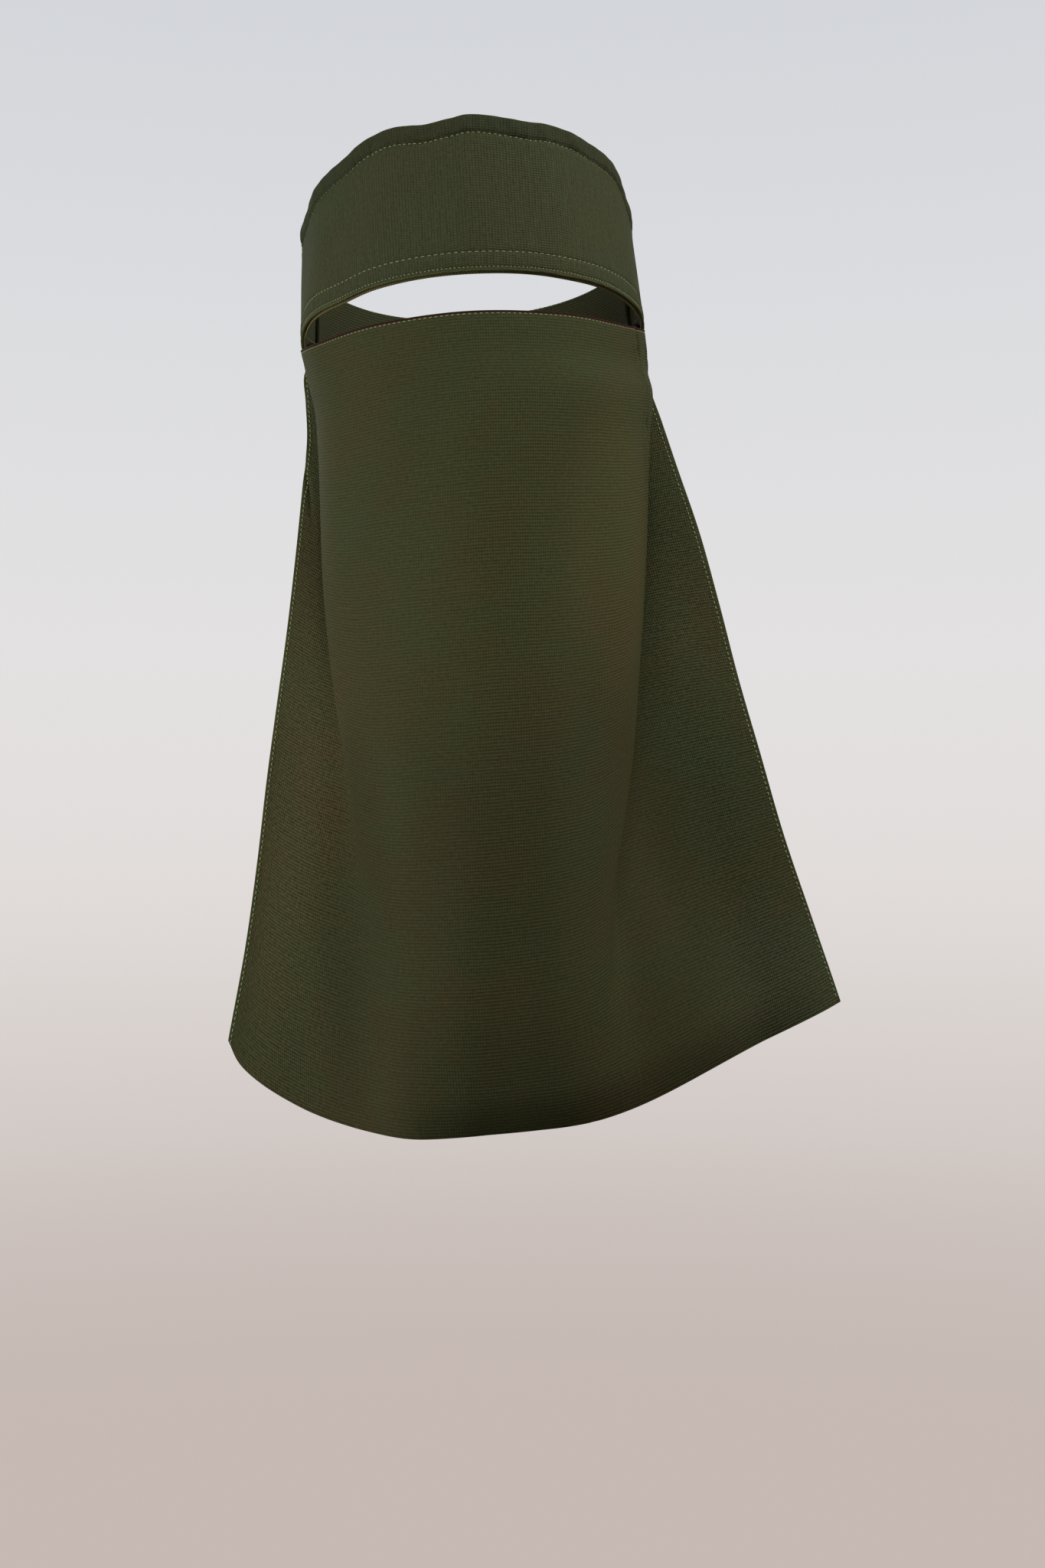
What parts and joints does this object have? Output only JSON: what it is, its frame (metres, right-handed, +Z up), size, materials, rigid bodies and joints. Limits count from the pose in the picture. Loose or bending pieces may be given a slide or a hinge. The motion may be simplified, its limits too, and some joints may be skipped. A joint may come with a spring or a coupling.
{
  "type": "half niqab face veil",
  "caption": "Half niqab: wide forehead band, narrow eye opening, long pleated face veil and two straps that close behind the head.",
  "frame": {"origin": "middle of the head opening, level with the brow edge at the centre of the forehead", "axes": "+Z up the head, +Y towards the back of the head, +X to the right of someone who faces the veil"},
  "size_m": [0.2796, 0.2335, 0.4442],
  "materials": {
    "crepe_outer": "matte woven crepe with light green topstitching",
    "crepe_facing": "matte woven crepe, wrong side out",
    "crepe_veil": "matte ribbed crepe with a slight sheen",
    "closure_tape": "matte brushed fastening tape"
  },
  "bodies": {
    "root": {"forehead_band": "crepe_outer", "brow_facing": "crepe_facing", "back_strap_left": "crepe_outer", "back_strap_right": "crepe_outer", "closure_strip": "closure_tape", "face_veil": "crepe_veil"}
  },
  "joints": []
}
